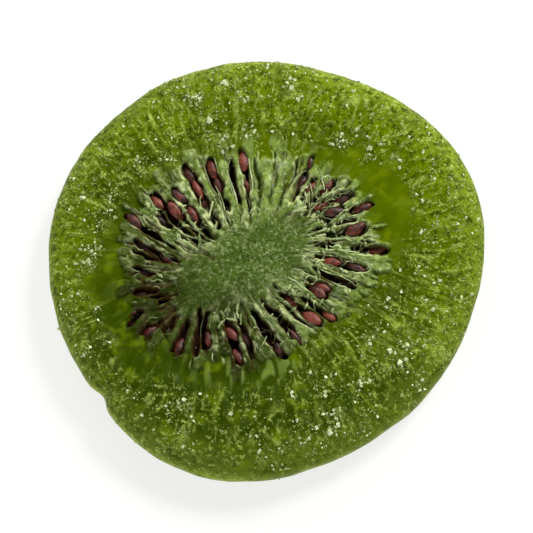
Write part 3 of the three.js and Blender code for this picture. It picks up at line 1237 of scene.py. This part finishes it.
class Nodes:
    """Short ways to add the nodes that the materials use."""

    def __init__(self, name):
        self.material = bpy.data.materials.new(name)
        self.material.use_nodes = True
        self.tree = self.material.node_tree
        self.shader = self.tree.nodes["Principled BSDF"]

    def feed(self, socket, value):
        """Links a socket to another one, or sets it to a plain value."""
        if isinstance(value, bpy.types.NodeSocket):
            self.tree.links.new(value, socket)
        else:
            socket.default_value = value

    def add(self, kind, output, inputs, **settings):
        """Adds a node, feeds its inputs, and returns one of its outputs."""
        node = self.tree.nodes.new("ShaderNode" + kind)
        for name, value in settings.items():
            setattr(node, name, value)
        for name, value in inputs.items():
            self.feed(node.inputs[name], value)
        return node.outputs[output]

    def value(self, name):
        return self.add("Attribute", "Fac", {}, attribute_name=name)

    def vector(self, name):
        return self.add("Attribute", "Vector", {}, attribute_name=name)

    @functools.cached_property
    def places(self):
        """The place on the object in millimetres."""
        inputs = {0: self.add("TexCoord", "Object", {}), "Scale": 1000}
        return self.add("VectorMath", 0, inputs, operation="SCALE")

    def noise(self, places, wavelength, detail=2.0, roughness=0.55, distortion=0.0):
        inputs = {"Vector": places, "Scale": 1 / wavelength, "Detail": detail}
        inputs |= {"Roughness": roughness, "Distortion": distortion}
        return self.add("TexNoise", "Fac", inputs)

    def range(self, value, low, high, to_low=0.0, to_high=1.0):
        inputs = {"Value": value, "From Min": low, "From Max": high}
        inputs |= {"To Min": to_low, "To Max": to_high}
        return self.add("MapRange", "Result", inputs, interpolation_type="SMOOTHSTEP")

    def spots(self, levels, wavelength, *details, places=None):
        """Noise on the object, or at other places, taken through a range."""
        return self.range(self.noise(places or self.places, wavelength, *details), *levels)

    def math(self, operation, first, second):
        return self.add("Math", 0, {0: first, 1: second}, operation=operation)

    def times(self, *factors):
        return functools.reduce(lambda first, second: self.math("MULTIPLY", first, second), factors)

    def most(self, first, second):
        return self.math("MAXIMUM", first, second)

    def blend(self, share, first, second):
        """Mixes two numbers."""
        return self.add("Mix", 0, {0: share, 2: first, 3: second}, data_type="FLOAT")

    def mix(self, share, first, second):
        """Mixes two colours, each a socket or sRGB values."""
        a, b = (linear(one) if isinstance(one, tuple) else one for one in (first, second))
        return self.add("Mix", 2, {0: share, 6: a, 7: b}, data_type="RGBA")

    def coat(self, colour, *coats):
        """A colour under coats of (share, colour), the lowest first."""
        for share, over in coats:
            colour = self.mix(share, colour, over)
        return colour

    def ramp(self, value, *stops):
        """A colour ramp over stops of (position, sRGB values)."""
        colour = self.add("ValToRGB", "Color", {0: value})
        elements = colour.node.color_ramp.elements
        while len(elements) < len(stops):
            elements.new(1.0)
        for element, (position, stop) in zip(elements, stops):
            element.position = position
            element.color = linear(stop)
        return colour

    def bumps(self, *layers):
        """Bump from (height, strength, distance in millimetres) layers, the coarsest first."""
        normal = {}
        for height, strength, distance in layers:
            inputs = {"Height": height, "Strength": strength, "Distance": distance / 1000}
            normal = {"Normal": self.add("Bump", 0, inputs | normal)}
        self.set(**normal)

    def set(self, **inputs):
        """Feeds the shader's sockets, named with _ for a space, and returns the material."""
        for name, value in inputs.items():
            self.feed(self.shader.inputs[name.replace("_", " ")], value)
        return self.material


def felt_colour(nodes, strands):
    """The core and the walls. The walls get painted light on the key light's side, and painted
    shade on the far side and where they are darkened.
    """
    zone = nodes.value("zone")
    sunny = nodes.value("sunny")
    walls = nodes.range(zone, 0.6, 1.3)
    core = [(0.0, CORE_MIDDLE), (0.5, CORE_OUTER), (0.8, CORE_OUTER), (1.0, WALL_OUTER)]
    # painted shade on the walls away from the key light, and where they are darkened
    shady = nodes.times(nodes.range(sunny, 0.0, -0.4, 0.0, 0.6), walls)
    shady = nodes.most(shady, nodes.times(nodes.value("matted_and_shade"), 0.95))
    lit = nodes.math("SUBTRACT", 1.0, shady)
    uneven = nodes.noise(nodes.vector("drawn_out"), 1.3, 1.0)
    light = nodes.times(nodes.range(uneven, 0.52, 0.64, 0.0, 0.5), walls)
    patches = nodes.spots((0.38, 0.62, 0.25, 1.0), 1.4, 4.0, 0.65)
    fuzz = nodes.times(nodes.spots((0.43, 0.8, 0.0, 0.62), 0.36, 3.0, 0.7), patches)
    lines = nodes.times(nodes.range(strands, 0.5, 0.75, 0.0, 0.45), walls)
    return nodes.coat(
        nodes.ramp(nodes.math("DIVIDE", zone, 2.0), *core),
        (shady, DARK_WALL_AND_SHADE),
        # painted light on the walls on the key light's side
        (nodes.times(nodes.range(sunny, 0.1, 0.5, 0.0, 0.85), walls), PALE_WALL_AND_SUNLIGHT),
        (nodes.spots((0.35, 0.62, 0.55, 0.0), 1.5, 4.0, 0.65), DEEP_CORE),
        (nodes.times(nodes.range(uneven, 0.48, 0.36, 0.0, 0.5), walls), DARK_WALL_AND_SHADE),
        (nodes.times(light, lit), PALE_WALL_AND_SUNLIGHT),
        (nodes.spots((0.5, 0.36, 0.0, 0.6), 0.22, 3.0, 0.7), DARK_WALL_AND_SHADE),
        (nodes.times(nodes.most(fuzz, lines), lit), PALE_FIBRE),
    )


def clear_colour(nodes):
    """The clear flesh past the walls, and the rim, with painted light and painted shade."""
    zone = nodes.value("zone")
    sunny = nodes.value("sunny")
    ring = [(0.0, CLEAR_FLESH), (0.75, CLEAR_FLESH), (0.85, RING_FLESH)]
    bright = nodes.range(sunny, 0.0, 1.1, 0.0, 0.7)
    flow = nodes.spots((0.5, 0.68, 0.0, 0.55), 1.0, 3.0, 0.6, places=nodes.vector("curled"))
    rim = nodes.range(nodes.value("side"), 0.3, 0.9, 0.0, 0.65)
    return nodes.coat(
        nodes.ramp(nodes.math("DIVIDE", zone, 3.0), *ring),
        # painted light on the clear flesh towards the key light
        (nodes.times(bright, nodes.range(zone, 2.2, 2.6, 0.55, 1.0)), FLESH_IN_LIGHT),
        # painted shade on the clear flesh on the side away from the key light
        (nodes.range(sunny, 0.2, -0.7, 0.0, 0.9), DARK_FLESH_AND_SHADE),
        (nodes.value("streak"), STREAK),
        (nodes.times(flow, nodes.value("combed")), FLOWING_FLESH),
        # painted light on the rim, paler towards it and most on the side away from the key light
        (nodes.range(zone, 2.6, 2.95, 0.0, 0.35), RIM_BOUNCE_LIGHT),
        (nodes.times(rim, nodes.range(sunny, 1.0, 0.0, 0.3, 1.0)), RIM_BOUNCE_LIGHT),
        (nodes.spots((0.35, 0.65, 0.35, 0.0), 2.6, 3.0), DARK_FLESH_AND_SHADE),
        (nodes.spots((0.5, 0.7, 0.0, 0.4), 1.9, 3.0), RING_LIGHT),
    )


def specks(nodes):
    """Small pale specks of dried sugar, some drawn out into curling strokes: 1 on a speck."""
    strokes = nodes.spots((0.54, 0.68, 0.0, 0.9), 0.5, 1.5, places=nodes.vector("curled"))
    dots = nodes.spots((0.55, 0.67), 0.45, 1.5)
    patches = nodes.spots((0.36, 0.6, 0.2, 1.0), 1.8, 3.0)
    broken = nodes.spots((0.36, 0.58, 0.3, 1.0), 0.2, 2.0)
    return nodes.times(nodes.most(strokes, dots), patches, broken)


def flesh_material():
    """Felt on the core and the walls, gaps, creases and pits in painted shade, and clear flesh
    that turns frosted.
    """
    nodes = Nodes("flesh")
    felt = nodes.value("felt")
    frost = nodes.value("frost")
    strands = nodes.noise(nodes.vector("drawn_out"), 0.42, 3.0, 0.6)
    crumbs = nodes.noise(nodes.places, 0.25, 3.0, 0.7)
    frosted = nodes.times(specks(nodes), frost)
    # dark spots on the frosted flesh, painted shade of small pits
    pits = nodes.spots((0.52, 0.36, 0.0, 0.75), 0.6, 2.0, 0.6, 0.6)
    inside_gaps = nodes.mix(nodes.spots((0.45, 0.7), 0.7), GAP_SHADE_BLACK, GAP_SHADE_BROWN)
    colour = nodes.coat(
        nodes.mix(felt, clear_colour(nodes), felt_colour(nodes, strands)),
        (nodes.times(pits, frost), DARK_FLESH_AND_SHADE),
        (nodes.times(frosted, 0.8), FROST),
        (nodes.times(nodes.value("edge"), 0.95), PALE_FIBRE),
        # painted shade, brownish, at the walls' feet and along the fold
        (nodes.times(nodes.value("crease"), 0.75), GAP_SHADE_BROWN),
        # painted shade deep in the gaps
        (nodes.value("gap"), inside_gaps),
    )
    curls = nodes.noise(nodes.vector("curled"), 0.5, 3.0, 0.6)
    grain = nodes.blend(0.4, curls, nodes.noise(nodes.places, 0.4, 3.0, 0.6))
    nodes.bumps(
        (nodes.times(strands, felt), 0.5, 0.2),
        (nodes.times(grain, frost), 0.8, 0.2),
        (frosted, 0.8, 0.12),
        (nodes.times(crumbs, nodes.most(felt, frost)), 0.9, 0.12),
    )
    roughness = nodes.range(felt, 0.0, 1.0, 0.3, 0.8)
    nodes.set(Subsurface_Weight=0.15, Subsurface_Radius=GLOW, Subsurface_Scale=0.0008)
    return nodes.set(Base_Color=colour, Roughness=roughness, Specular_IOR_Level=0.02)


def seed_material():
    nodes = Nodes("seed")
    mottled = nodes.math("ADD", nodes.value("tone"), nodes.spots((0.3, 0.7, -0.4, 0.4), 0.5))
    colour = nodes.ramp(mottled, (0.0, SEED_BLACK), (0.55, SEED_MAROON), (1.0, SEED_RED))
    nodes.bumps((nodes.noise(nodes.places, 0.22, 3.0), 0.8, 0.08))
    return nodes.set(Base_Color=colour, Roughness=0.42, Specular_IOR_Level=0.45)


def wisp_material():
    nodes = Nodes("wisp")
    pale = nodes.times(nodes.value("tone"), nodes.spots((0.3, 0.7), 0.6), 0.6)
    colour = nodes.mix(pale, clear_colour(nodes), FROST)
    nodes.bumps((nodes.noise(nodes.places, 0.15, 2.0), 0.5, 0.05))
    nodes.set(Subsurface_Weight=0.15, Subsurface_Radius=GLOW, Subsurface_Scale=0.0005)
    return nodes.set(Base_Color=colour, Roughness=0.35, Specular_IOR_Level=0.03)


def fibre_material():
    nodes = Nodes("fibre")
    colour = nodes.mix(nodes.value("tone"), CORE_OUTER, PALE_FIBRE)
    colour = nodes.mix(nodes.spots((0.3, 0.7, 0.4, 0.0), 0.9), colour, CORE_MIDDLE)
    nodes.bumps((nodes.noise(nodes.places, 0.1, 2.0), 0.3, 0.03))
    nodes.set(Subsurface_Weight=0.15, Subsurface_Scale=0.0005)
    return nodes.set(Base_Color=colour, Roughness=0.5)


def sugar_material():
    nodes = Nodes("sugar")
    # the palest tone is partly a painted glint
    stops = [(0.0, RING_FLESH), (0.3, SUGAR_GREEN), (0.88, SUGAR_PALE), (0.97, SUGAR_WHITE_AND_GLINT)]
    colour = nodes.ramp(nodes.value("tone"), *stops)
    colour = nodes.mix(nodes.spots((0.35, 0.65, 0.3, 0.0), 0.5), colour, RING_FLESH)
    nodes.bumps((nodes.noise(nodes.places, 0.08, 2.0), 0.2, 0.02))
    return nodes.set(Base_Color=colour, Roughness=0.15, Specular_IOR_Level=0.25)


def floor_material():
    """White paper that glows a little, as if lit from below."""
    nodes = Nodes("floor")
    nodes.set(Emission_Color=linear(FLOOR_GLOW), Emission_Strength=0.85)
    return nodes.set(Base_Color=linear(FLOOR_GREY), Roughness=0.9, Specular_IOR_Level=0.1)


# ---- Stage ----

FLOOR_HALF = 1.5  # metres, like all lengths of the stage apart from the lens's

# Azimuth and elevation in degrees, distance from the origin, size, power and colour
LIGHTS = {
    "key": (50, 42, 0.5, 0.18, 2.4, (1.0, 0.98, 0.94)),
    "back": (110, 30, 0.6, 0.3, 1.0, (1, 1, 1)),
    "fill": (235, 25, 0.7, 0.6, 2.2, (1, 1, 1)),
}
WORLD_COLOUR = (1.0, 1.0, 0.96, 1.0)
WORLD_STRENGTH = 0.18

LENS = 135  # millimetres
CAMERA_ELEVATION = 76
SLICE_IN_VIEW = 0.82  # the share of the view's width that the slice fills


def add_floor(level):
    corners = ((-1, -1), (1, -1), (1, 1), (-1, 1))
    points = [(x * FLOOR_HALF, y * FLOOR_HALF, level) for x, y in corners]
    floor = make_object("floor", points, [(0, 1, 2, 3)], smooth=False)
    floor.data.materials.append(floor_material())
    floor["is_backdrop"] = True


def direction(azimuth, elevation):
    """A unit vector: azimuth from +X towards +Y, and elevation above the horizon."""
    turn = math.radians(azimuth)
    rise = math.radians(elevation)
    flat = math.cos(rise)
    return Vector((flat * math.cos(turn), flat * math.sin(turn), math.sin(rise)))


def look_at(target, data, back, distance):
    """An object that looks at the target, from a distance back along a direction."""
    item = bpy.data.objects.new(data.name, data)
    item.location = target + back * distance
    item.rotation_euler = back.to_track_quat("Z", "Y").to_euler()
    bpy.context.scene.collection.objects.link(item)
    return item


def add_lights():
    for name, (azimuth, elevation, distance, size, power, colour) in LIGHTS.items():
        light = bpy.data.lights.new(name, "AREA")
        light.shape = "DISK"
        light.size = size
        light.energy = power
        light.color = colour
        look_at(Vector((0, 0, 0)), light, direction(azimuth, elevation), distance)


def add_camera(low, high):
    """A long lens that looks steeply down at the slice."""
    data = bpy.data.cameras.new("camera")
    data.lens = LENS
    distance = (high.x - low.x) / SLICE_IN_VIEW * LENS / data.sensor_width
    camera = look_at((low + high) / 2, data, direction(-90, CAMERA_ELEVATION), distance)
    bpy.context.scene.camera = camera


def set_world():
    world = bpy.data.worlds.new("world")
    world.use_nodes = True
    background = world.node_tree.nodes["Background"]
    background.inputs["Color"].default_value = WORLD_COLOUR
    background.inputs["Strength"].default_value = WORLD_STRENGTH
    bpy.context.scene.world = world


def build_stage():
    low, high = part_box("kiwi_slice")
    add_floor(low.z)
    add_lights()
    set_world()
    add_camera(low, high)
    bpy.context.scene.view_settings.view_transform = "Standard"


# ---- The slice ----


def build_slice():
    fit = Fit()
    top_rng = np.random.default_rng(TOP_LAYOUT)
    under_rng = np.random.default_rng(UNDER_LAYOUT)
    top_gaps, top_seeds = lay_out(top_rng, LEADING_GAPS)
    under_gaps, under_seeds = lay_out(under_rng, strewn_gaps(under_rng, UNDER_LEADING_GAPS))
    gaps = {1: top_gaps + furrows(), -1: under_gaps}
    flesh, surface = build_flesh(fit, gaps)
    ground = Ground(surface)
    pieces = {
        flesh: flesh_material(),
        build_seeds(fit, ground, {1: top_seeds, -1: under_seeds}): seed_material(),
        build_fibres(fit, ground, gaps): fibre_material(),
        build_wisps(fit, ground, surface): wisp_material(),
        build_sugar(fit, surface): sugar_material(),
    }
    for piece, material in pieces.items():
        piece.data.materials.append(material)
        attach(piece, "root")


def write_sizes():
    boxes = {"cad": CAD_BOX, "visual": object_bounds()}
    {name: [list(low), list(high)] for name, (low, high) in boxes.items()}


build_stage()
build_slice()
write_sizes()
